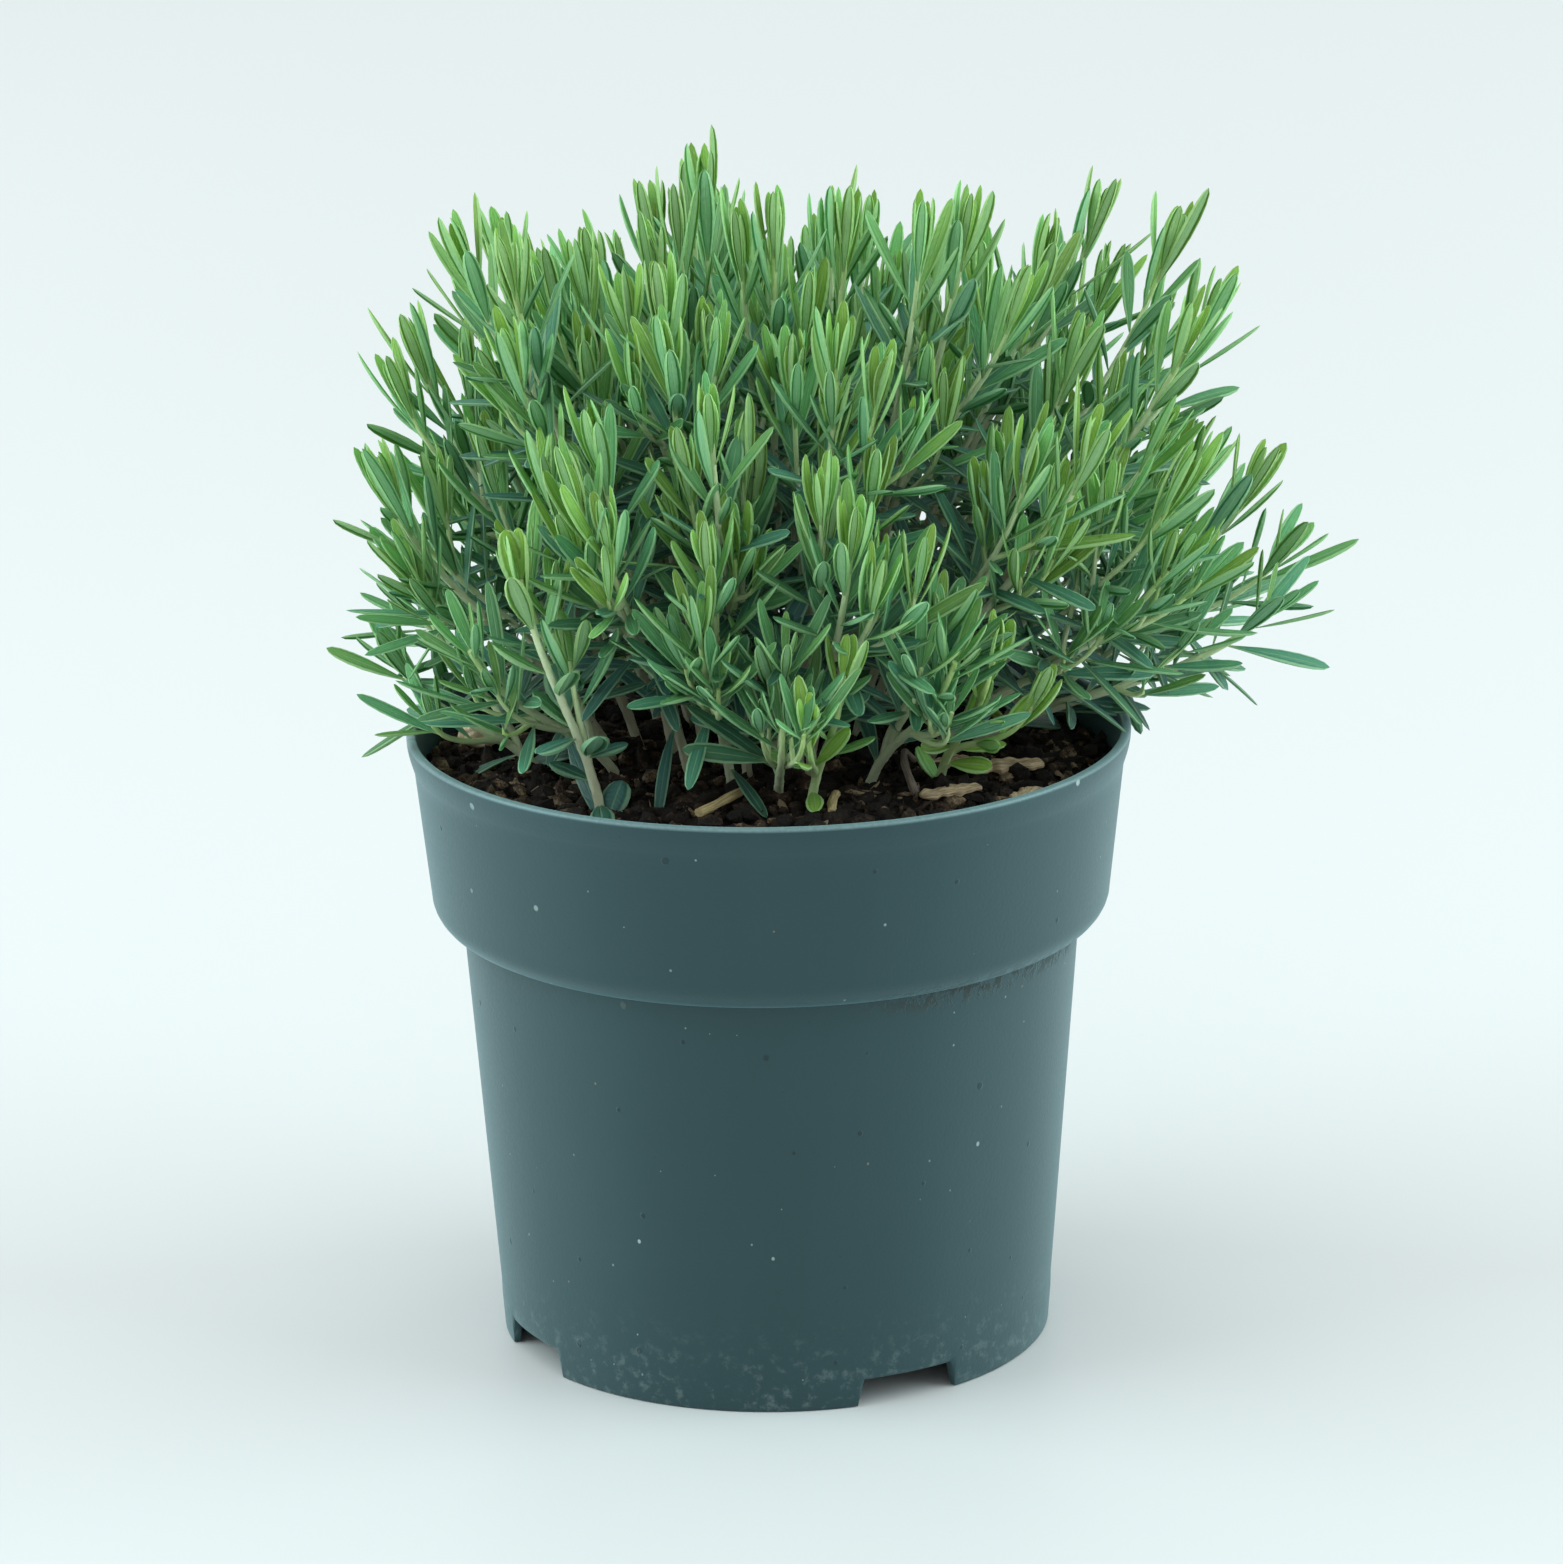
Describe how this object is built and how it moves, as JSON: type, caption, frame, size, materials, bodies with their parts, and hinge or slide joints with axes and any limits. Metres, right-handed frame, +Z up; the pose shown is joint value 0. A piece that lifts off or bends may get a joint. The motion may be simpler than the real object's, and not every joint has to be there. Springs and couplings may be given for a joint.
{
  "type": "potted bog rosemary",
  "caption": "Low dense evergreen with narrow leathery leaves on upright shoots, growing in compost in a round tapered nursery pot with a deep collar and notched foot.",
  "frame": {"origin": "centre of the underside of the whole object's box, on the surface the pot stands on", "axes": "+Z up along the pot's axis; -Y towards the viewer's front, where the single sprigs lean over the rim; +X to the right, where the foliage reaches furthest"},
  "size_m": [0.1688, 0.1392, 0.2157],
  "materials": {
    "pot_plastic": "matte dark petrol grey injection-moulded plastic, lightly scuffed",
    "compost": "dark crumbly moist peat compost",
    "mature_foliage": "leathery dull blue-green leaves, pale beneath, on tan to pale green stems",
    "young_foliage": "young bright green leaves on pale green stems",
    "bark": "torn dry bark and wood chips",
    "straw": "dry straw-coloured stalk",
    "dry_twig": "weathered grey-brown twig",
    "seedling": "fresh yellow-green stalk"
  },
  "bodies": {
    "root": {"pot": "pot_plastic", "compost": "compost", "branch_01": "mature_foliage", "branch_02": "mature_foliage", "branch_03": "mature_foliage", "branch_04": "mature_foliage", "branch_05": "mature_foliage", "branch_06": "mature_foliage", "branch_07": "mature_foliage", "branch_08": "mature_foliage", "branch_09": "mature_foliage", "branch_10": "mature_foliage", "branch_11": "mature_foliage", "branch_12": "mature_foliage", "branch_13": "mature_foliage", "branch_14": "mature_foliage", "branch_15": "mature_foliage", "branch_16": "mature_foliage", "branch_17": "mature_foliage", "branch_18": "mature_foliage", "branch_19": "mature_foliage", "branch_20": "mature_foliage", "branch_21": "mature_foliage", "branch_22": "mature_foliage", "branch_23": "mature_foliage", "branch_24": "mature_foliage", "branch_25": "mature_foliage", "branch_26": "mature_foliage", "branch_27": "mature_foliage", "branch_28": "mature_foliage", "branch_29": "mature_foliage", "branch_30": "mature_foliage", "branch_31": "mature_foliage", "branch_32": "mature_foliage", "branch_33": "mature_foliage", "branch_34": "mature_foliage", "branch_35": "mature_foliage", "branch_36": "mature_foliage", "branch_37": "mature_foliage", "branch_38": "mature_foliage", "sprig_front_left": "young_foliage", "sprig_front_middle": "young_foliage", "sprig_front_right": "young_foliage", "sprig_right": "young_foliage", "sprig_left": "young_foliage", "bark_chip_1": "bark", "bark_chip_2": "bark", "bark_chip_3": "bark", "bark_chip_4": "bark", "bark_chip_5": "bark", "straw_1": "straw", "straw_2": "straw", "twig": "dry_twig", "sprout": "seedling", "wood_chunk": "bark"}
  },
  "joints": []
}
